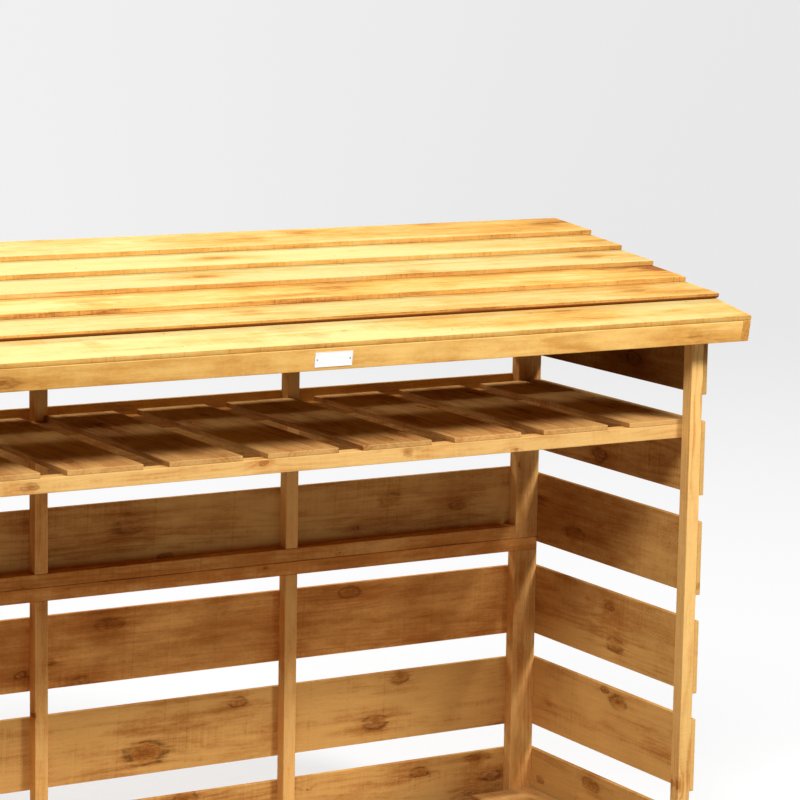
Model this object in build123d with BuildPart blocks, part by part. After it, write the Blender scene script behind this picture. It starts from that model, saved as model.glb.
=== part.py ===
"""Slatted timber log store with a lapped board roof, a kindling shelf and a raised floor.

Millimetres, +Z up. The open front faces -Y and +X is to the right of someone who looks in.
The origin is on the ground, at the centre of the whole store's box.
"""
import math
import os

from build123d import *

os.makedirs("parts", exist_ok=True)

# Timber stock: sawn boards, square battens and the deeper trim round the roof
board_width = 150.0
board_thickness = 10.0
batten = 28.0
trim_depth = 43.0
trim_thickness = 18.0

# Walls: the clear width between the side boards and the depth of a side frame
inside_width = 1770.0
frame_depth = 614.0
wall_rows = 6
wall_gap = 53.5
ground_gap = 3.0

# Back wall: its upper rows are set out from the mid rails, a little above the side rows
back_post_count = 4
upper_back_rows = 3
upper_back_lift = 14.5
mid_rail_bottom = 597.5
lap_joint_share = 0.5

# Shelf and floor: slats that run front to back on two long rails
slat_count = 9
slat_end_gap = 4.0
shelf_height = 970.0
floor_bearer_count = 3

# Roof: lapped boards on rafters, with one flat board along the front edge
roof_pitch = 10.0
roof_side_overhang = 60.0
front_overhang = 58.0
rear_overhang = 28.8
roof_clearance = 13.0
lapped_board_count = 5
lapped_board_width = 142.0
front_board_width = 137.0

# Places that follow from the sizes above
slope_sin = math.sin(math.radians(roof_pitch))
slope_cos = math.cos(math.radians(roof_pitch))
slope_tan = math.tan(math.radians(roof_pitch))
half_inside = inside_width / 2
outside_width = inside_width + 2 * board_thickness
row_pitch = board_width + wall_gap
eaves_height = ground_gap + (wall_rows - 1) * row_pitch + board_width + roof_clearance

roof_run = front_overhang + frame_depth + board_thickness + rear_overhang
roof_length = roof_run / slope_cos
roof_width = outside_width + 2 * roof_side_overhang
roof_front = -(roof_run + (trim_depth - board_thickness) * slope_sin) / 2

front_face = roof_front + front_overhang
front_post_back = front_face + batten
back_face = front_face + frame_depth
back_post_front = back_face - batten

mid_rail_top = mid_rail_bottom + batten
upper_rail_top = mid_rail_top + batten
lap_depth = batten * lap_joint_share

roof_plane = Plane(
    origin=(0, roof_front, eaves_height - front_overhang * slope_tan),
    x_dir=(1, 0, 0),
    z_dir=(0, -slope_sin, slope_cos),
)


def post_top(y):
    """Height of the rafters' underside over the given depth."""
    return eaves_height + (y - front_face) * slope_tan - trim_depth / slope_cos


def row_bottom(row):
    """Height of a wall board's lower edge, with row 0 at the ground."""
    return ground_gap + row * row_pitch


def save(piece, name):
    piece.label = name
    export_step(piece, f"parts/{name}.step")


# Side frames: a front and a back post each, cut at the top to the slope of the rafters.
# The back post is notched in front, where the long mid rail is let in flush.
for side, left_edge in (("left", -half_inside), ("right", half_inside - batten)):
    for place, near, far in (("front", front_face, front_post_back), ("back", back_post_front, back_face)):
        with BuildPart() as side_post:
            with BuildSketch(Plane.YZ.offset(left_edge)):
                with BuildLine():
                    Polyline((near, 0), (far, 0), (far, post_top(far)), (near, post_top(near)), close=True)
                make_face()
            extrude(amount=batten)
            if place == "back":
                with BuildSketch(Plane.YZ.offset(left_edge)):
                    with Locations((near, mid_rail_bottom)):
                        Rectangle(lap_depth, batten, align=(Align.MIN, Align.MIN))
                extrude(amount=batten, mode=Mode.SUBTRACT)
        save(side_post.part, f"{side}_{place}_post")

# Side boards: nailed to the outside of the posts, flush with the posts front and back
for side, inner_face, outward in (("left", -half_inside, -1), ("right", half_inside, 1)):
    for row in range(wall_rows):
        with BuildPart() as side_board:
            with BuildSketch(Plane.YZ.offset(inner_face)):
                with Locations((front_face, row_bottom(row))):
                    Rectangle(frame_depth, board_width, align=(Align.MIN, Align.MIN))
            extrude(amount=outward * board_thickness)
        save(side_board.part, f"{side}_side_board_{wall_rows - row}")

# Back posts: evenly spaced between the side frames and notched for the mid rails
end_post_centre = half_inside - batten - batten / 2
back_post_pitch = 2 * end_post_centre / (back_post_count - 1)
for number in range(back_post_count):
    is_end_post = number in (0, back_post_count - 1)
    notch_top = mid_rail_top if is_end_post else upper_rail_top
    with BuildPart() as back_post:
        with BuildSketch(Plane.YZ.offset(number * back_post_pitch - end_post_centre - batten / 2)):
            with BuildLine():
                Polyline(
                    (back_post_front, 0),
                    (back_face, 0),
                    (back_face, post_top(back_face)),
                    (back_post_front, post_top(back_post_front)),
                    close=True,
                )
            make_face()
            with Locations((back_post_front, mid_rail_bottom)):
                Rectangle(
                    lap_depth,
                    notch_top - mid_rail_bottom,
                    align=(Align.MIN, Align.MIN),
                    mode=Mode.SUBTRACT,
                )
        extrude(amount=batten)
    save(back_post.part, f"back_post_{number + 1}")

# Mid rails: the lower one runs from side to side, the upper one between the end posts.
# Both are halved over the posts that they cross, so that all lie flush in front.
middle_posts = [(number * back_post_pitch - end_post_centre, 0) for number in range(1, back_post_count - 1)]
corner_pair_centre = half_inside - batten
corner_pairs = [(-corner_pair_centre, 0), (corner_pair_centre, 0)]

with BuildPart() as lower_mid_rail:
    with BuildSketch(Plane.XY.offset(mid_rail_bottom)):
        with Locations((0, back_post_front)):
            Rectangle(inside_width, batten, align=(Align.CENTER, Align.MIN))
        with Locations(*[(x, back_post_front + lap_depth) for x, _ in middle_posts]):
            Rectangle(batten, batten - lap_depth, align=(Align.CENTER, Align.MIN), mode=Mode.SUBTRACT)
        with Locations(*[(x, back_post_front + lap_depth) for x, _ in corner_pairs]):
            Rectangle(2 * batten, batten - lap_depth, align=(Align.CENTER, Align.MIN), mode=Mode.SUBTRACT)
    extrude(amount=batten)
save(lower_mid_rail.part, "lower_mid_rail")

with BuildPart() as upper_mid_rail:
    with BuildSketch(Plane.XY.offset(mid_rail_top)):
        with Locations((0, back_post_front)):
            Rectangle(2 * end_post_centre - batten, batten, align=(Align.CENTER, Align.MIN))
        with Locations(*[(x, back_post_front + lap_depth) for x, _ in middle_posts]):
            Rectangle(batten, batten - lap_depth, align=(Align.CENTER, Align.MIN), mode=Mode.SUBTRACT)
    extrude(amount=batten)
save(upper_mid_rail.part, "upper_mid_rail")

# Back boards: nailed behind the posts, across the full width and over the side boards' ends
for row in range(wall_rows):
    lift = upper_back_lift if row >= wall_rows - upper_back_rows else 0
    with BuildPart() as back_board:
        with BuildSketch(Plane.XZ.offset(-back_face)):
            with Locations((0, row_bottom(row) + lift)):
                Rectangle(outside_width, board_width, align=(Align.CENTER, Align.MIN))
        extrude(amount=-board_thickness)
    save(back_board.part, f"back_board_{wall_rows - row}")

# Shelf and floor decks: slats on a front rail behind the front posts and a rail at the back
slat_length = back_post_front - front_post_back
slat_pitch = (inside_width - 2 * slat_end_gap - board_width) / (slat_count - 1)
floor_height = 2 * batten + board_thickness
for deck, deck_top in (("shelf", shelf_height), ("floor", floor_height)):
    rail_top = deck_top - board_thickness
    for place, near in (("front", front_post_back), ("back", back_post_front - batten)):
        with BuildPart() as deck_rail:
            with BuildSketch(Plane.XY.offset(rail_top)):
                with Locations((0, near)):
                    Rectangle(inside_width, batten, align=(Align.CENTER, Align.MIN))
            extrude(amount=-batten)
        save(deck_rail.part, f"{deck}_{place}_rail")
    with BuildPart() as deck_slats:
        with BuildSketch(Plane.XY.offset(rail_top)):
            with Locations((0, (front_post_back + back_post_front) / 2)):
                with GridLocations(slat_pitch, 0, slat_count, 1):
                    Rectangle(board_width, slat_length)
        extrude(amount=board_thickness)
    save(deck_slats.part, f"{deck}_slats")

# Floor bearers: short battens on the ground, which carry the floor's two rails
bearer_pitch = (inside_width - batten) / (floor_bearer_count - 1)
with BuildPart() as floor_bearers:
    with BuildSketch(Plane.XY):
        with Locations((0, (front_post_back + back_post_front) / 2)):
            with GridLocations(bearer_pitch, 0, floor_bearer_count, 1):
                Rectangle(batten, slat_length)
    extrude(amount=batten)
save(floor_bearers.part, "floor_bearers")

# Roof trim: a fascia and a back rail between two bargeboards, all square to the slope
bargeboard_centre = (roof_width - trim_thickness) / 2
for side, centre in (("left", -bargeboard_centre), ("right", bargeboard_centre)):
    with BuildPart() as bargeboard:
        with BuildSketch(roof_plane):
            with Locations((centre, 0)):
                Rectangle(trim_thickness, roof_length, align=(Align.CENTER, Align.MIN))
        extrude(amount=-trim_depth)
    save(bargeboard.part, f"{side}_bargeboard")

for name, near in (("fascia", 0), ("roof_back_rail", roof_length - trim_thickness)):
    with BuildPart() as cross_trim:
        with BuildSketch(roof_plane):
            with Locations((0, near)):
                Rectangle(roof_width - 2 * trim_thickness, trim_thickness, align=(Align.CENTER, Align.MIN))
        extrude(amount=-trim_depth)
    save(cross_trim.part, name)

# Rafters: on edge, over the side frames' posts and over the middle back posts
rafter_length = roof_length - 2 * trim_thickness
end_rafter_centre = half_inside - batten / 2
rafter_sets = {
    "left_rafter": [-end_rafter_centre],
    "right_rafter": [end_rafter_centre],
    "middle_rafters": [x for x, _ in middle_posts],
}
for name, centres in rafter_sets.items():
    with BuildPart() as rafters:
        with BuildSketch(roof_plane):
            with Locations(*[(x, trim_thickness) for x in centres]):
                Rectangle(batten, rafter_length, align=(Align.CENTER, Align.MIN))
        extrude(amount=-trim_depth)
    save(rafters.part, name)

# Roof boards: the front one lies flat on the rafters. Each lapped board has its back edge on
# the rafters and its front edge on the board below, which sets how far it tips.
exposure = (roof_length - front_board_width) / lapped_board_count
lap_tilt = math.degrees(math.asin(board_thickness / exposure))
board_pitch = math.radians(roof_pitch - lap_tilt)

with BuildPart() as front_roof_board:
    with BuildSketch(roof_plane):
        Rectangle(roof_width, front_board_width, align=(Align.CENTER, Align.MIN))
    extrude(amount=board_thickness)
save(front_roof_board.part, f"roof_board_{lapped_board_count + 1}")

for course in range(lapped_board_count):
    back_edge = front_board_width + exposure * (course + 1)
    lapped_plane = Plane(
        origin=roof_plane.from_local_coords((0, back_edge, 0)),
        x_dir=(1, 0, 0),
        z_dir=(0, -math.sin(board_pitch), math.cos(board_pitch)),
    )
    with BuildPart() as lapped_roof_board:
        with BuildSketch(lapped_plane):
            Rectangle(roof_width, lapped_board_width, align=(Align.CENTER, Align.MAX))
        extrude(amount=board_thickness)
    save(lapped_roof_board.part, f"roof_board_{lapped_board_count - course}")
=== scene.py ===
"""Looks of the slatted log store: grained timber, nails, the bare plate, studio and camera."""
import math
import random

import bmesh
import bpy
from mathutils import Matrix, Vector


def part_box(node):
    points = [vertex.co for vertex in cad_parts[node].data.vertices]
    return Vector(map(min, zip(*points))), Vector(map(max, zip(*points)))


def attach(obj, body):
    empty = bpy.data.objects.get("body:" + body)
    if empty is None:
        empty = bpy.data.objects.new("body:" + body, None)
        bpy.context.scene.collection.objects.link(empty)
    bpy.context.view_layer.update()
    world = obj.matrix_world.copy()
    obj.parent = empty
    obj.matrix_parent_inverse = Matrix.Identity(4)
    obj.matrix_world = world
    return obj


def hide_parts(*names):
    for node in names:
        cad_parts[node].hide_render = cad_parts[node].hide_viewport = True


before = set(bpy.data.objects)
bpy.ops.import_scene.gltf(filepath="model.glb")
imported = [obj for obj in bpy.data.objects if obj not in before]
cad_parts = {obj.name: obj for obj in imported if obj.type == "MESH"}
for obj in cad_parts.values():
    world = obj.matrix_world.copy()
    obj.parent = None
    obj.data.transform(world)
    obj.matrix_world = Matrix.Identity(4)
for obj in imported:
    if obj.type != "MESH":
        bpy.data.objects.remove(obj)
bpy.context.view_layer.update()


# Corner posts of the side frames: planed softwood battens, 28 mm square, stood on end and cut to
# the rafters' slope on top. Their arrises are eased, and the dip treatment leaves them honey gold.
batten_ease = 0.0014
batten_wood = {
    "pale": (0.84, 0.500, 0.167, 1.0),
    "rich": (0.58, 0.233, 0.052, 1.0),
    "deep": (0.22, 0.064, 0.014, 1.0),
    "base": 0.28, "flame_depth": 0.18, "edge_dark": 0.0, "end_dark": 0.2, "arris_wear_and_painted_light": -0.12,
    "knot_room": (0.30, 0.05), "knot_radius": 0.006, "knot_dark": 0.9,
    "saw_room": 0.040, "saw_depth": 0.60,
}
knot_layers = ("knot_1", "knot_2", "knot_3", "knot_4")
point_layers = ("grain", "tone", *knot_layers)
face_layers = ("end_grain", "sawn_edge", "arris")
far_off, tiny = 50.0, 0.001
tone_spread = 0.5
wide_from = 3
chance_knots, chance_radii = 2, (0.006, 0.016)
undercut_painted_shade, faces_down = 12.0, -0.2


class Wire:
    """A socket among a material's nodes. Sums written with wires add Math nodes."""

    def __init__(self, tree, socket=None):
        self.tree, self.socket = tree, socket

    def node(self, kind, settings, inputs, output=0):
        """Adds a node, makes its settings, then fills its sockets with values or links."""
        new = self.tree.nodes.new(kind)
        for name, value in settings.items():
            if name == "stops":
                ramp = new.color_ramp.elements
                while len(ramp) < len(value):
                    ramp.new(1.0)
                for stop, (place, level) in zip(ramp, value):
                    stop.position, stop.color = place, (level, level, level, 1.0)
            else:
                setattr(new, name, value)
        for name, value in inputs.items():
            if isinstance(value, Wire):
                self.tree.links.new(value.socket, new.inputs[name])
            else:
                new.inputs[name].default_value = value
        return Wire(self.tree, new.outputs[output])

    def other(self, output):
        """Another output of the node that this wire leaves."""
        return Wire(self.tree, self.socket.node.outputs[output])

    def sum(self, operation, first, second=0.0):
        return self.node("ShaderNodeMath", {"operation": operation}, {0: first, 1: second})

    def __add__(self, value):
        return self.sum("ADD", self, value)

    def __sub__(self, value):
        return self.sum("SUBTRACT", self, value)

    def __rsub__(self, value):
        return self.sum("SUBTRACT", value, self)

    def __mul__(self, value):
        return self.sum("MULTIPLY", self, value)

    def __truediv__(self, value):
        return self.sum("DIVIDE", self, value)

    def __lt__(self, value):
        return self.sum("LESS_THAN", self, value)

    __radd__, __rmul__ = __add__, __mul__

    def into(self, shader, socket):
        self.tree.links.new(self.socket, shader.inputs[socket])


def stretched(place, per_metre):
    """The place along, across and through a board, counted so many times a metre each way."""
    return place.node("ShaderNodeVectorMath", {"operation": "MULTIPLY"}, {0: place, 1: per_metre})


def mottle(place, per_metre, detail=2.0):
    """Noise about zero that changes so many times a metre along, across and through a board."""
    noise = {"Vector": stretched(place, per_metre), "Scale": 1.0, "Detail": detail}
    return place.node("ShaderNodeTexNoise", {}, noise) - 0.5


def tinted(share, first, second):
    """A colour that goes from the first to the second with the share."""
    return share.node("ShaderNodeMix", {"data_type": "RGBA"}, {0: share, 6: first, 7: second}, 2)


def eased_step(value, start, end):
    """0 at the start and 1 at the end, with a soft curve between them."""
    settings = {"interpolation_type": "SMOOTHSTEP"}
    return value.node("ShaderNodeMapRange", settings, {0: value, 1: start, 2: end, 3: 0.0, 4: 1.0})


def timber_finish(name, pale, rich, deep, base, flame_depth, edge_dark, end_dark, arris_wear_and_painted_light,
                  knot_room, knot_radius, knot_dark, saw_room, saw_depth):
    """Dip treated softwood, cut out of a log: growth rings, fibres, knots and the marks of the saw.

    The colour goes from pale to rich to deep, and the base says where plain wood lies on that way.
    """
    finish = bpy.data.materials.new(name)
    finish.use_nodes = True
    surface = finish.node_tree.nodes["Principled BSDF"]
    start = Wire(finish.node_tree)

    def painted(layer, output="Vector"):
        return start.node("ShaderNodeAttribute", {"attribute_name": layer}, {}, output)

    place = painted("grain")
    along = start.node("ShaderNodeSeparateXYZ", {}, {0: place})
    across = along.other(1)
    lightness = start.node("ShaderNodeSeparateXYZ", {}, {0: painted("tone")})
    warmth, figure = lightness.other(1), lightness.other(2)
    end_grain, sawn_edge, arris = (painted(layer, "Fac") for layer in face_layers)

    # Fibres, streaks and the blotches that the treatment leaves
    fibre = mottle(place, (14.0, 380.0, 380.0), 3.0)
    streak = mottle(place, (3.0, 80.0, 80.0), 4.0)
    blotch = mottle(place, (5.0, 13.0, 13.0), 5.0)
    cloud = mottle(place, (22.0, 60.0, 60.0), 3.0)
    fleck = mottle(place, (110.0, 330.0, 330.0), 2.0)
    flame = eased_step(mottle(place, (2.4, 26.0, 26.0), 4.0), 0.05, 0.17)

    # Knots: small ones by chance, at most one in each room of the board, and its own large ones
    knot_stretch, no_knot = 0.26, 30.0
    ragged = mottle(place, (60.0, 120.0, 40.0), 2.0) * 0.5 + cloud * 0.8
    sway = mottle(place, (26.0, 60.0, 40.0)) * 0.014

    def reach_of(off_along, off_across, radius):
        """How far a spot lies from a knot's middle, counted in the knot's radii."""
        far_along, far_across = off_along / radius, (off_across + sway) / radius
        squares = far_along * far_along * knot_stretch + far_across * far_across
        return start.sum("SQRT", squares) + ragged

    room = stretched(place, (1 / knot_room[0], 1 / knot_room[1], 0.0))
    settings, inputs = {"voronoi_dimensions": "2D"}, {"Vector": room, "Scale": 1.0, "Randomness": 0.9}
    knot_place = start.node("ShaderNodeTexVoronoi", settings, inputs, "Position")
    luck = start.node("ShaderNodeSeparateColor", {}, {0: knot_place.other("Color")})
    size_luck, dark_luck = luck.other(1), luck.other(2)
    away = start.node("ShaderNodeVectorMath", {"operation": "SUBTRACT"}, {0: room, 1: knot_place})
    away = start.node("ShaderNodeSeparateXYZ", {}, {0: stretched(away, (*knot_room, 0.0))})
    small = (size_luck * size_luck * 0.8 + 0.2) * knot_radius
    reach = reach_of(away, away.other(1), small) + (luck < 0.5) * -no_knot + no_knot
    for layer in knot_layers:
        knot_along = start.node("ShaderNodeSeparateXYZ", {}, {0: painted(layer)})
        own = reach_of(along - knot_along, across - knot_along.other(1), knot_along.other(2))
        reach = start.sum("MINIMUM", reach, own)
    smear = start.sum("EXPONENT", reach * -0.48) * (0.72 + streak * 2.6 + blotch * 1.5)
    core = 1 - eased_step(reach, 0.50, 1.00)
    pip = 1 - eased_step(reach, 0.05, 0.45)
    rim = eased_step(reach, 0.62, 0.88) * (1 - eased_step(reach, 0.92, 1.25))
    rim = rim * eased_step(streak + cloud, -0.20, 0.12)

    # Growth rings round the heart of the log, which runs a little askew to the board
    ring_spacing, ring_slant, knot_bend = 0.0078, 0.020, 0.020
    heart = stretched(place, (0.0, 1.0, 1.0))
    ring_radius = start.node("ShaderNodeVectorMath", {"operation": "LENGTH"}, {0: heart}, "Value")
    wander = mottle(place, (2.2, 8.0, 8.0)) * 0.030 + mottle(place, (12.0, 45.0, 45.0)) * 0.006
    ring_place = ring_radius + along * ring_slant + wander + smear * knot_bend
    band = start.sum("FRACT", ring_place / ring_spacing)
    late_stops = ((0.0, 0.15), (0.40, 0.20), (0.80, 0.85), (0.92, 0.70), (1.0, 0.15))
    late = start.node("ShaderNodeValToRGB", {"stops": late_stops}, {0: band})
    late = late * eased_step(mottle(place, (2.0, 14.0, 14.0)), -0.22, 0.20)
    sapwood = eased_step(ring_radius + wander, 0.084, 0.100)

    # Marks of the saw: fine lines across the board in patches, deeper ticks, and slanting chatter
    lines_per_metre, tick_width, chatter_per_metre = 120.0, 0.0016, 640
    saw_place = along + across * 0.06 + mottle(place, (3.0, 9.0, 9.0)) * 0.006
    saw_lines = {"W": saw_place * lines_per_metre, "Scale": 1.0, "Detail": 5.0, "Roughness": 0.7}
    saw = start.node("ShaderNodeTexNoise", {"noise_dimensions": "1D"}, saw_lines) - 0.5
    saw = saw * (0.18 + eased_step(mottle(place, (3.0, 16.0, 16.0)), -0.06, 0.20)) * saw_depth
    tick_place = {"W": saw_place / saw_room, "Scale": 1.0}
    tick = start.node("ShaderNodeTexVoronoi", {"voronoi_dimensions": "1D"}, tick_place)
    tick_luck = start.node("ShaderNodeSeparateColor", {}, {0: tick.other("Color")})
    tick = (1 - eased_step(tick, 0.0, tick_width / saw_room)) * tick_luck * tick_luck * saw_depth
    tick = tick * (0.6 + sawn_edge * 0.7)
    chatter = start.sum("SINE", (along * 0.8 + across * 1.1 + blotch * 0.02) * chatter_per_metre)
    chatter = chatter * eased_step(mottle(place, (4.5, 16.0, 16.0), 1.0), 0.10, 0.30) * saw_depth

    # Colour: all of these add up to how far along the way from pale to deep a spot lies
    depth = late * (0.10 + figure * 0.34) + fibre * 0.60 + fleck * 0.60
    depth = depth + streak * 0.46 + blotch * 1.10 + cloud * 0.55
    depth = depth + smear * 0.60 - sapwood * 0.16 + saw * 0.60 + tick * 0.30 + chatter * 0.08 + base
    depth = depth + flame * flame_depth
    # On eased edges the arris term adds wear and painted light: lighter edges are partly wear and
    # partly a painted highlight, and darker ones are painted shade.
    depth = depth + sawn_edge * edge_dark + end_grain * end_dark + arris * arris_wear_and_painted_light
    depth = depth + warmth * (0.12 - sawn_edge * 0.08)
    colour = tinted(eased_step(depth, 0.0, 0.8), pale, rich)
    colour = tinted(eased_step(depth, 0.6, 1.5), colour, deep)

    # Knots are pink or brown inside, with a dark rim and sometimes a dark pip
    pink_light, pink_dark = (0.60, 0.300, 0.110, 1.0), (0.37, 0.150, 0.044, 1.0)
    brown_light, brown_dark = (0.53, 0.205, 0.036, 1.0), (0.30, 0.095, 0.016, 1.0)
    rim_brown = (0.14, 0.044, 0.009, 1.0)
    knot_grain = eased_step(streak + fleck * 1.5, -0.20, 0.20)
    knot_pink = tinted(knot_grain, pink_light, pink_dark)
    knot_brown = tinted(knot_grain, brown_light, brown_dark)
    knot_colour = tinted(eased_step(blotch, 0.02, 0.16), knot_brown, knot_pink)
    colour = tinted(core * (0.45 + dark_luck * 0.35) * knot_dark, colour, knot_colour)
    dark = start.sum("MAXIMUM", rim * (0.45 + dark_luck * 0.30), pip * dark_luck * 0.5)
    colour = tinted(dark * knot_dark, colour, rim_brown)
    shade = (1 + lightness * 0.12) * (1 + fibre * 0.35 + fleck * 0.25)
    colour = start.node("ShaderNodeVectorMath", {"operation": "SCALE"}, {0: colour, "Scale": shade})
    colour.into(surface, "Base Color")

    # Bare wood: no gloss, and a relief of fibres, late wood, saw marks and knot rims
    surface.inputs["Specular IOR Level"].default_value = 0.0
    (0.62 - late * 0.07 + fibre * 0.20 + end_grain * 0.16 + saw * 0.10).into(surface, "Roughness")
    height = late * 0.30 + fibre * 0.55 + chatter * 0.25 - saw * 0.8 - tick * 0.5 - rim * 0.4
    bump = {"Height": height, "Strength": 0.5, "Distance": 0.0008}
    start.node("ShaderNodeBump", {}, bump).into(surface, "Normal")
    return finish


def boards_of(cut):
    """The loose boards of a mesh, each as a list of its points."""
    for point in cut.verts:
        point.tag = False
    for first in cut.verts:
        if not first.tag:
            first.tag = True
            board = [first]
            for point in board:
                for edge in point.link_edges:
                    next_point = edge.other_vert(point)
                    if not next_point.tag:
                        next_point.tag = True
                        board.append(next_point)
            yield board


def span(board, way):
    """A board's lowest and highest place in a direction."""
    places = [point.co.dot(way) for point in board]
    return min(places), max(places)


def made_of(finish, name, shape):
    """Puts a finished shape into the scene as a piece of that finish."""
    piece = bpy.data.objects.new(name, bpy.data.meshes.new(name))
    shape.to_mesh(piece.data)
    shape.free()
    piece.data.materials.append(finish)
    bpy.context.scene.collection.objects.link(piece)
    return piece


def bevelled(shape, edges, offset, segments):
    """Takes edges off by the offset, in so many facets, and gives the new faces."""
    return bmesh.ops.bevel(shape, geom=edges, offset=offset, offset_type="OFFSET", affect="EDGES",
                           segments=segments, profile=0.5, material=-1, clamp_overlap=True)["faces"]


def timber(node, finish, ease, knots=(), tone=None, drift_and_light_falloff=(0.0, 0.0), undercut=0.0,
           figure=None, arris_level=1.0):
    """A timber piece in place of a CAD node: edges eased, and each board with a grain of its own.

    Knots are large ones at given points, with their radii. A wide board without them gets two by
    chance. The tone says how much lighter and how much warmer than others the piece is, and the
    drift_and_light_falloff how both change towards the right, which on the roof is a painted light
    falloff. An undercut takes the lowest edge off and its faces get painted shade, a dark line under
    the board. The figure says how strongly the growth rings show, and the arris level how far the
    painted light and wear on eased edges is taken, or below zero, how far the other way, to paint
    shade.
    Gives, for each board, its middle, its directions along, across and out, and its half sizes.
    """
    cut = bmesh.new()
    cut.from_mesh(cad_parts[node].data)
    bmesh.ops.remove_doubles(cut, verts=cut.verts, dist=0.00001)
    bmesh.ops.dissolve_limit(cut, angle_limit=math.radians(1), verts=cut.verts, edges=cut.edges)
    grain, toned, *own_knots = [cut.verts.layers.float_vector.new(layer) for layer in point_layers]
    end_grain, sawn_edge, arris = [cut.faces.layers.float.new(layer) for layer in face_layers]
    if undercut:
        lowest = min(cut.edges, key=lambda edge: sum(point.co.z for point in edge.verts))
        bevelled(cut, [lowest], undercut, 1)
    for face in bevelled(cut, [edge for edge in cut.edges if edge.is_convex], ease, 2):
        face[arris] = arris_level
    # Painted shade: the undercut's faces are darkened almost to the deep colour, for the dark line
    # under the board.
    if undercut:
        for face in cut.faces:
            if max(face.normal.y, face.normal.z) < faces_down:
                face[arris] = undercut_painted_shade
    frames = []
    for number, board in enumerate(boards_of(cut)):
        edges = dict.fromkeys(edge for point in board for edge in point.link_edges)
        runs = [edge.verts[1].co - edge.verts[0].co for edge in edges]
        runs.sort(key=lambda run: run.length)
        along = runs[-1].normalized()
        crossing = [run.normalized() for run in runs if run.length > 2.5 * ease]
        crossing = [way for way in crossing if abs(way.dot(along)) < 0.01]
        widths = [high - low for low, high in (span(board, way) for way in crossing)]
        thin = [way for way, width in zip(crossing, widths) if width < 1.05 * min(widths)]
        out = max(thin, key=lambda way: abs(way.y))
        spans = [(way, *span(board, way)) for way in (along, out.cross(along), out)]
        middle = sum((way * (low + high) / 2 for way, low, high in spans), Vector())
        half = [(high - low) / 2 for _, low, high in spans]
        outward = out.z if abs(out.z) > 0.5 else out.dot(middle)
        if outward < 0:
            out = -out
        ways = (along, out.cross(along), out)
        is_wide = half[1] > wide_from * half[2]
        draw = random.Random(f"{node} {number}")
        heart = Vector((draw.uniform(-6.0, 6.0), draw.uniform(-0.05, 0.05),
                        draw.choice((-1, 1)) * draw.uniform(0.02, 0.09)))
        light, warm = tone or (draw.gauss(0.0, tone_spread), draw.gauss(0.0, tone_spread))
        mood = Vector((light, warm, draw.uniform(0.0, 1.0)))
        if figure is not None:
            mood.z = figure
        spots = [((Vector(point) - middle).dot(along), (Vector(point) - middle).dot(ways[1]), radius)
                 for point, radius in knots]
        if is_wide and not knots:
            for _ in range(chance_knots):
                spots.append((draw.uniform(-0.9, 0.9) * half[0], draw.uniform(-0.8, 0.8) * half[1],
                              draw.uniform(*chance_radii)))
        spots += [(far_off, far_off, tiny)] * (len(knot_layers) - len(spots))
        for point in board:
            from_middle = point.co - middle
            point[grain] = Vector([from_middle.dot(way) for way in ways]) + heart
            # The drift along the board; on the roof it is a painted light falloff.
            point[toned] = mood + Vector((*drift_and_light_falloff, 0.0)) * (from_middle.x / half[0])
            for layer, (knot_along, knot_across, radius) in zip(own_knots, spots):
                point[layer] = Vector((knot_along + heart.x, knot_across + heart.y, radius))
            for face in point.link_faces:
                face[end_grain] = float(abs(face.normal.dot(along)) > 0.9)
                face[sawn_edge] = float(is_wide and abs(face.normal.dot(ways[1])) > 0.9)
        frames.append((middle, ways, half))
    piece = made_of(finish, f"{node}_timber", cut)
    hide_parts(node)
    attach(piece, "root")
    return frames


batten_finish = timber_finish("planed_batten", **batten_wood)
corner_tones = {"right_front_post": (-0.3, -2.7), "right_back_post": (-0.1, -0.8)}
corner_figures = {"right_front_post": 1.7}
for side in ("left", "right"):
    for place in ("front", "back"):
        post = f"{side}_{place}_post"
        timber(post, batten_finish, batten_ease, tone=corner_tones.get(post),
               figure=corner_figures.get(post))


# Side boards: thin sawn softwood boards, six to a side, nailed to the outside of the posts with
# two nails at each end. They are rougher than the battens and show the saw's marks and big knots.
board_ease = 0.0012
board_wood = {
    "pale": (0.80, 0.456, 0.139, 1.0),
    "rich": (0.485, 0.193, 0.044, 1.0),
    "deep": (0.158, 0.045, 0.011, 1.0),
    "base": 0.26, "flame_depth": 0.15, "edge_dark": 0.15, "end_dark": -0.28, "arris_wear_and_painted_light": -0.12,
    "knot_room": (0.42, 0.13), "knot_radius": 0.009, "knot_dark": 1.0,
    "saw_room": 0.026, "saw_depth": 0.85,
}
right_knots = {
    2: ((0.054, 0.842, 0.014),),
    3: ((0.139, 0.655, 0.018), (0.278, 0.706, 0.008)),
    4: ((0.001, 0.527, 0.009), (-0.021, 0.450, 0.016)),
    5: ((-0.038, 0.330, 0.017), (0.011, 0.346, 0.008)),
    6: ((0.057, 0.128, 0.016), (0.250, 0.089, 0.008)),
}
right_tones = {
    1: (-3.5, 1.3), 2: (-1.9, -1.1), 3: (-1.6, 1.0),
    4: (-1.1, -0.2), 5: (-0.7, -1.2), 6: (-1.5, -2.2),
}
nail_radius = 0.0015
nail_stand = 0.0005
nail_sides = 10
nail_ease = 0.6 * nail_stand
nail_bright, nail_dull = (0.34, 0.28, 0.20), (0.17, 0.12, 0.07)
nail_from_end = 0.014
nail_from_edge = 0.030
wall_rows = range(1, 7)


def metal_finish(name, bright, dull):
    """Galvanised steel, with dull and worn spots."""
    finish = bpy.data.materials.new(name)
    finish.use_nodes = True
    surface = finish.node_tree.nodes["Principled BSDF"]
    start = Wire(finish.node_tree)
    place = start.node("ShaderNodeTexCoord", {}, {}, "Object")
    spots = eased_step(mottle(place, (420.0, 420.0, 420.0), 3.0), -0.15, 0.20)
    tinted(spots, (*bright, 1.0), (*dull, 1.0)).into(surface, "Base Color")
    (0.42 + spots * 0.25).into(surface, "Roughness")
    surface.inputs["Metallic"].default_value = 0.8
    return finish


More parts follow.
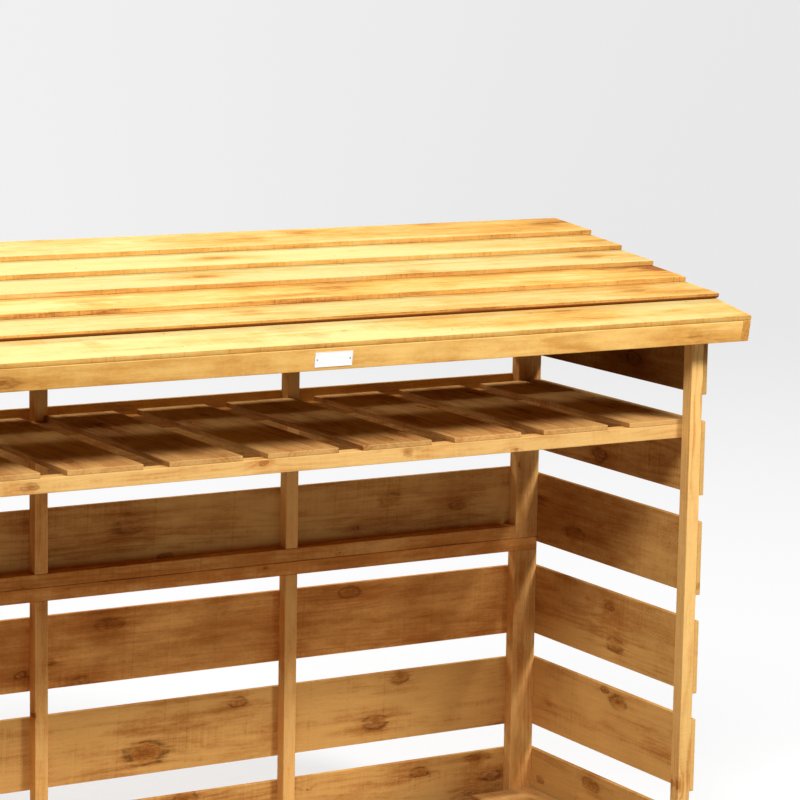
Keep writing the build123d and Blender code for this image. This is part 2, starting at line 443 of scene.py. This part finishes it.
def nails(name, places):
    """Round nail heads with eased rims, one at each (point, direction out of the wood)."""
    heads = bmesh.new()
    for point, out in places:
        turn = Vector((0, 0, 1)).rotation_difference(out).to_matrix().to_4x4()
        head = bmesh.ops.create_cone(
            heads, cap_ends=True, segments=nail_sides, radius1=nail_radius, radius2=nail_radius,
            depth=2 * nail_stand, matrix=Matrix.Translation(point) @ turn)
        crown = [edge for edge in dict.fromkeys(e for v in head["verts"] for e in v.link_edges)
                 if all((v.co - point).dot(out) > 0 for v in edge.verts)]
        bevelled(heads, crown, nail_ease, 1)
    piece = made_of(nail_finish, name, heads)
    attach(piece, "root")


def nailed(board, lines, edge=nail_from_edge):
    """Two nails on each line across a board, as points on its outer face and the way out."""
    middle, (along, across, out), half = board
    return [(middle + along * line + across * (side * (half[1] - edge)) + out * half[2], out)
            for line in lines for side in (-1, 1)]


def both_ends(board, inset=nail_from_end):
    """Where the two nail lines near a board's ends lie, from its middle."""
    return (inset - board[2][0], board[2][0] - inset)


board_finish = timber_finish("sawn_board", **board_wood)
nail_finish = metal_finish("galvanised_nail", nail_bright, nail_dull)
side_nails = []
for side, knots, tones in (("left", {}, {}), ("right", right_knots, right_tones)):
    for row in wall_rows:
        spots = [((0.0, y, z), radius) for y, z, radius in knots.get(row, ())]
        name = f"{side}_side_board_{row}"
        for board in timber(name, board_finish, board_ease, spots, tones.get(row)):
            side_nails += nailed(board, both_ends(board))
nails("side_board_nails", side_nails)


# Back posts and mid rails: the same battens. The two rails are halved over the posts, so that all
# of them lie flush in front. The rails' eased edges are painted darker, a painted shade for the
# seam where the two rails meet.
post_tones = {2: (0.4, -0.5), 3: (0.2, -1.0), 4: (-0.2, 0.0)}
for number in (1, 2, 3, 4):
    timber(f"back_post_{number}", batten_finish, batten_ease, tone=post_tones.get(number))
mid_rail_tones = {"lower_mid_rail": (1.8, 2.6), "upper_mid_rail": (0.2, 1.9)}
# Painted shade on the mid rails' eased edges, for the seam between them.
seam_painted_shade = -2.8
for rail, tone in mid_rail_tones.items():
    timber(rail, batten_finish, batten_ease, tone=tone, arris_level=seam_painted_shade)


# Back boards: sawn boards across the full width, nailed from behind into each of the four back
# posts and over the ends of the side boards.
back_knots = {
    3: ((-0.075, 0.729, 0.020), (0.003, 0.656, 0.009), (0.530, 0.730, 0.016), (0.700, 0.704, 0.012)),
    4: ((-0.119, 0.527, 0.016), (-0.251, 0.465, 0.008), (0.436, 0.540, 0.014), (-0.185, 0.417, 0.010)),
    5: ((-0.035, 0.252, 0.026), (0.173, 0.333, 0.012), (0.563, 0.340, 0.013), (0.503, 0.250, 0.016)),
    6: ((0.052, 0.140, 0.016), (0.764, 0.135, 0.016), (0.616, 0.125, 0.012), (0.796, 0.095, 0.014)),
}
# The second back board's darker tone is painted shade, for the little light that reaches it by the
# shelf.
back_tones_and_shade = {2: (-1.1, 0.2), 3: (-1.1, -0.6), 4: (2.5, 1.5), 5: (-0.5, -1.6), 6: (-0.9, -1.2)}


def middle_of(node):
    """The middle of a CAD node's box."""
    low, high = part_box(node)
    return (low + high) / 2


back_posts = [middle_of(f"back_post_{number}") for number in (1, 2, 3, 4)]
back_nails = []
for row in wall_rows:
    spots = [((x, 0.0, z), radius) for x, z, radius in back_knots.get(row, ())]
    name = f"back_board_{row}"
    for board in timber(name, board_finish, board_ease, spots, back_tones_and_shade.get(row)):
        lines = [(post - board[0]).dot(board[1][0]) for post in back_posts]
        back_nails += nailed(board, lines)
nails("back_board_nails", back_nails)


# Shelf and floor: sawn slats that run front to back, nailed down at both ends on long battens.
# The floor's battens lie on three short bearers on the ground.
slat_wood = {
    **board_wood,
    "pale": (0.56, 0.311, 0.102, 1.0),
    "rich": (0.345, 0.139, 0.038, 1.0),
    "deep": (0.112, 0.037, 0.011, 1.0),
    "end_dark": -0.15,
}
shelf_rail_knots = [((-0.550, 0.0, 0.946), 0.009), ((0.224, 0.0, 0.949), 0.007)]
# The shelf's back rail is darkened, a painted shade for the shadow it lies in under the slats.
rail_tones_and_shade = {"shelf_front_rail": (-1.4, -2.3), "shelf_back_rail": (-2.8, 4.0)}
slat_finish = timber_finish("sawn_slat", **slat_wood)
slat_nails = []
for deck in ("shelf", "floor"):
    for place in ("front", "back"):
        rail = f"{deck}_{place}_rail"
        spots = shelf_rail_knots if rail == "shelf_front_rail" else ()
        timber(rail, batten_finish, batten_ease, spots, rail_tones_and_shade.get(rail))
    for slat in timber(f"{deck}_slats", slat_finish, board_ease):
        slat_nails += nailed(slat, both_ends(slat))
timber("floor_bearers", batten_finish, batten_ease)
nails("slat_nails", slat_nails)


# Roof frame: rafters on edge over the posts, between a fascia, a back rail and two bargeboards.
# All are planed and square to the slope. The bargeboards are nailed to the ends of the cross pieces.
trim_ease = 0.0016
trim_wood = {
    **batten_wood,
    "pale": (0.88, 0.544, 0.167, 1.0),
    "rich": (0.64, 0.311, 0.069, 1.0),
    "deep": (0.29, 0.105, 0.020, 1.0),
    "end_dark": 0.35, "knot_dark": 0.25, "saw_depth": 0.30,
}
barge_nail_inset, barge_nail_edge = 0.009, 0.012
fascia_knots = [((0.834, -0.355, 1.150), 0.013), ((-0.640, -0.355, 1.145), 0.014)]
fascia_tone, fascia_drift = (-0.5, 0.3), (0.6, -0.5)
trim_finish = timber_finish("planed_trim", **trim_wood)
for rafter in ("left_rafter", "right_rafter", "middle_rafters"):
    timber(rafter, batten_finish, batten_ease)
timber("fascia", trim_finish, trim_ease, fascia_knots, fascia_tone, fascia_drift)
timber("roof_back_rail", trim_finish, trim_ease)
barge_nails = []
for side in ("left", "right"):
    for board in timber(f"{side}_bargeboard", trim_finish, trim_ease):
        barge_nails += nailed(board, both_ends(board, barge_nail_inset), barge_nail_edge)
nails("bargeboard_nails", barge_nails)


# Roof boards: five lapped boards and a flat one in front, sawn, and nailed down over each rafter.
# They are the palest timber, painted a little darker and warmer towards the right, a painted light
# falloff, and their eased edges get painted shade. The lowest lapped board lies loose on the flat
# one, so its lower edge is cut back, and the cut gets painted shade for a dark line under it.
roof_ease = 0.0016
roof_wood = {
    **board_wood,
    "pale": (0.68, 0.555, 0.230, 1.0),
    "rich": (0.66, 0.345, 0.080, 1.0),
    "deep": (0.28, 0.092, 0.026, 1.0),
    "base": 0.25, "flame_depth": 0.28, "edge_dark": 0.55, "end_dark": 0.30, "arris_wear_and_painted_light": 0.15,
    "knot_dark": 0.35, "saw_room": 0.015, "saw_depth": 0.80,
}
roof_height = 1.25
roof_knots = {
    1: ((0.169, 0.272, 0.014), (0.305, 0.311, 0.010), (0.900, 0.300, 0.012)),
    2: ((0.929, 0.140, 0.024), (0.035, 0.163, 0.014)),
    3: ((-0.046, 0.046, 0.014), (0.390, 0.000, 0.012), (0.838, 0.042, 0.014)),
    4: ((0.161, -0.074, 0.020), (-0.348, -0.085, 0.014), (0.945, -0.040, 0.010)),
    5: ((-0.069, -0.183, 0.018), (0.795, -0.185, 0.014), (-0.506, -0.238, 0.010)),
    6: ((-0.044, -0.275, 0.020), (-0.002, -0.331, 0.014),
        (-0.434, -0.293, 0.010), (0.583, -0.272, 0.014)),
}
roof_tones = {
    1: (0.1, 0.3), 2: (0.0, -1.8), 3: (-0.5, -1.8),
    4: (0.7, 1.9), 5: (-0.5, -0.4), 6: (-0.2, -0.7),
}
# Painted light falloff: the roof boards get darker and warmer towards the right.
roof_light_falloff = (-0.4, 2.1)
roof_undercuts = {5: 0.0034}
roof_finish = timber_finish("sawn_roof_board", **roof_wood)
over_rafters = [middle_of("left_rafter"), middle_of("right_rafter"), *back_posts[1:3]]
roof_nails = []
for course, knots in roof_knots.items():
    spots = [((x, y, roof_height), radius) for x, y, radius in knots]
    boards = timber(f"roof_board_{course}", roof_finish, roof_ease, spots,
                    roof_tones[course], roof_light_falloff, roof_undercuts.get(course, 0.0))
    for board in boards:
        lines = [(Vector((over.x, 0, 0)) - board[0]).dot(board[1][0]) for over in over_rafters]
        roof_nails += nailed(board, lines)
nails("roof_nails", roof_nails)


# Name plate on the fascia: a bare white plastic plate with rounded corners and a raised rim,
# held by a small screw at each end.
roof_pitch = math.radians(10)
plate_length, plate_width, plate_thickness = 0.078, 0.028, 0.0012
plate_corner = 0.0012
plate_corner_facets = 6
plate_rim, plate_rim_height = 0.0010, 0.0003
plate_white, plate_grey = (0.86, 0.86, 0.85, 1.0), (0.80, 0.80, 0.79, 1.0)
plate_across = 0.014
fascia_half_thickness = 0.009
screw_radius = 0.0016
screw_flatness, screw_sink = 0.55, 0.0003
screw_from_end = 0.0048

plate_material = bpy.data.materials.new("satin_white_plate")
plate_material.use_nodes = True
plate_surface = plate_material.node_tree.nodes["Principled BSDF"]
plate_start = Wire(plate_material.node_tree)
plate_place = plate_start.node("ShaderNodeTexCoord", {}, {}, "Object")
plate_cloud = mottle(plate_place, (60.0, 60.0, 60.0), 3.0)
plate_speck = mottle(plate_place, (1400.0, 1400.0, 1400.0), 2.0)
tinted(plate_cloud + 0.5, plate_white, plate_grey).into(plate_surface, "Base Color")
(0.38 + plate_cloud * 0.15).into(plate_surface, "Roughness")
plate_bump = {"Height": plate_speck, "Strength": 0.1, "Distance": 0.0003}
plate_start.node("ShaderNodeBump", {}, plate_bump).into(plate_surface, "Normal")

fascia_middle = middle_of("fascia")
face_out = Vector((0, -math.cos(roof_pitch), -math.sin(roof_pitch)))
face_up = Vector((0, -math.sin(roof_pitch), math.cos(roof_pitch)))
face_turn = Matrix((Vector((1, 0, 0)), face_up, face_out)).transposed().to_4x4()
plate_middle = Vector((plate_across, fascia_middle.y, fascia_middle.z))
plate_middle += face_out * fascia_half_thickness
plate_frame = Matrix.Translation(plate_middle) @ face_turn

plate = bmesh.new()
plate_sizes = Matrix.Diagonal((plate_length, plate_width, plate_thickness, 1.0))
bmesh.ops.create_cube(plate, size=1.0, matrix=plate_sizes)
bmesh.ops.translate(plate, verts=plate.verts, vec=(0, 0, plate_thickness / 2))
upright = [edge for edge in plate.edges
           if abs(edge.verts[0].co.z - edge.verts[1].co.z) > plate_thickness / 2]
bevelled(plate, upright, plate_corner, plate_corner_facets)
top = [face for face in plate.faces if face.normal.z > 0.9]
bmesh.ops.inset_region(plate, faces=top, thickness=plate_rim, depth=-plate_rim_height)
bmesh.ops.transform(plate, verts=plate.verts, matrix=plate_frame)
plate_piece = made_of(plate_material, "name_plate", plate)
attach(plate_piece, "root")

screws = bmesh.new()
for end in (-1, 1):
    seat = Vector((end * (plate_length / 2 - screw_from_end), 0, plate_thickness - screw_sink))
    dome = bmesh.ops.create_uvsphere(screws, u_segments=12, v_segments=8, radius=screw_radius)["verts"]
    bmesh.ops.scale(screws, vec=(1, 1, screw_flatness), verts=dome)
    bmesh.ops.translate(screws, vec=seat, verts=dome)
bmesh.ops.transform(screws, matrix=plate_frame, verts=screws.verts)
screw_piece = made_of(nail_finish, "plate_screws", screws)
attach(screw_piece, "root")


# Studio floor: a wide white sheet under the store that takes its shadow and fades to pale grey
# with the distance, like the backdrop that it runs into.
floor_reach = 150.0
floor_light, floor_seen = 0.45, 0.83
floor_glow_share = 0.45
floor_near = (1.0, 3.0)
floor_fade = (1.3, 9.5)
backdrop_left, backdrop_right = (0.875, 0.875, 0.875, 1.0), (0.810, 0.810, 0.815, 1.0)
backdrop_turn = (0.36, 0.64)
white = (1.0, 1.0, 1.0, 1.0)


def seen_directly(start):
    """1 for what the camera sees itself or in gloss and glass, 0 for light on its way to a surface."""
    ray = start.node("ShaderNodeLightPath", {}, {}, "Is Camera Ray")
    shown = start.sum("MAXIMUM", ray, ray.other("Is Glossy Ray"))
    return start.sum("MAXIMUM", shown, ray.other("Is Transmission Ray"))


floor_material = bpy.data.materials.new("studio_floor")
floor_material.use_nodes = True
floor_tree = floor_material.node_tree
floor_surface = floor_tree.nodes["Principled BSDF"]
floor_surface.inputs["Roughness"].default_value = 0.9
floor_start = Wire(floor_tree)
floor_shown = seen_directly(floor_start)
floor_greys = [(level, level, level, 1.0) for level in (floor_light, floor_seen)]
tinted(floor_shown, *floor_greys).into(floor_surface, "Base Color")
floor_place = floor_start.node("ShaderNodeTexCoord", {}, {}, "Object")
measure = {"operation": "LENGTH"}
floor_distance = floor_start.node("ShaderNodeVectorMath", measure, {0: floor_place}, "Value")
floor_across = floor_start.node("ShaderNodeSeparateXYZ", {}, {0: floor_place}) / floor_distance
floor_far = eased_step(floor_distance, *floor_fade)
floor_colour = tinted(eased_step(floor_across, *backdrop_turn), backdrop_left, backdrop_right)
floor_colour = tinted(floor_far, white, floor_colour)
floor_glow = floor_start.node("ShaderNodeEmission", {}, {"Color": floor_colour})
floor_share = floor_glow_share + eased_step(floor_distance, *floor_near) * (1 - floor_glow_share)
floor_sheet = Wire(floor_tree, floor_surface.outputs[0])
floor_shaders = {0: floor_share * floor_shown, 1: floor_sheet, 2: floor_glow}
floor_mix = floor_start.node("ShaderNodeMixShader", {}, floor_shaders)
floor_mix.into(floor_tree.nodes["Material Output"], "Surface")

floor = bmesh.new()
bmesh.ops.create_grid(floor, x_segments=2, y_segments=2, size=floor_reach)
floor_piece = made_of(floor_material, "studio_floor", floor)


# Studio light: a white room all round, a large soft lamp high in front on the left, one in front on
# the right, and one behind. The camera sees the room as the same pale grey as the far floor.
room_strength = 0.036
lamps = {
    "front_left_lamp": ((-1.94, -2.92, 4.27), 1.6, 185.0),
    "front_right_lamp": ((2.11, -3.17, 3.94), 1.1, 194.0),
    "back_lamp": ((0.0, 3.54, 4.24), 1.0, 212.0),
}
aim = Vector((0.0, 0.0, 0.7))

world = bpy.data.worlds.new("white_room")
bpy.context.scene.world = world
world.use_nodes = True
room_start = Wire(world.node_tree)
shown = seen_directly(room_start)
room_light = world.node_tree.nodes["Background"]
tinted(shown, white, backdrop_left).into(room_light, "Color")
(room_strength + shown * (1 - room_strength)).into(room_light, "Strength")

for name, (spot, size, power) in lamps.items():
    lamp = bpy.data.lights.new(name, "AREA")
    lamp.shape, lamp.size, lamp.energy = "DISK", size, power
    holder = bpy.data.objects.new(name, lamp)
    holder.location = spot
    holder.rotation_euler = (aim - Vector(spot)).to_track_quat("-Z", "Y").to_euler()
    bpy.context.scene.collection.objects.link(holder)


# Camera: in front and to the left, above the roof, with a long lens. It looks down a little and
# leans by a degree, so that the store fills the picture as in the photograph.
camera_spot = (-2.711, -5.206, 1.971)
camera_yaw, camera_pitch, camera_roll = (math.radians(angle) for angle in (30.580, 9.117, 0.995))
focal_pixels, picture_pixels, sensor_width = 3087.4, 800, 36.0

camera = bpy.data.cameras.new("camera")
camera.sensor_width = sensor_width
camera.lens = focal_pixels / picture_pixels * sensor_width
camera_holder = bpy.data.objects.new("camera", camera)
camera_holder.matrix_world = (
    Matrix.Translation(camera_spot)
    @ Matrix.Rotation(-camera_yaw, 4, "Z")
    @ Matrix.Rotation(math.pi / 2 - camera_pitch, 4, "X")
    @ Matrix.Rotation(camera_roll, 4, "Z")
)
bpy.context.scene.collection.objects.link(camera_holder)
bpy.context.scene.camera = camera_holder
bpy.context.scene.view_settings.view_transform = "Standard"
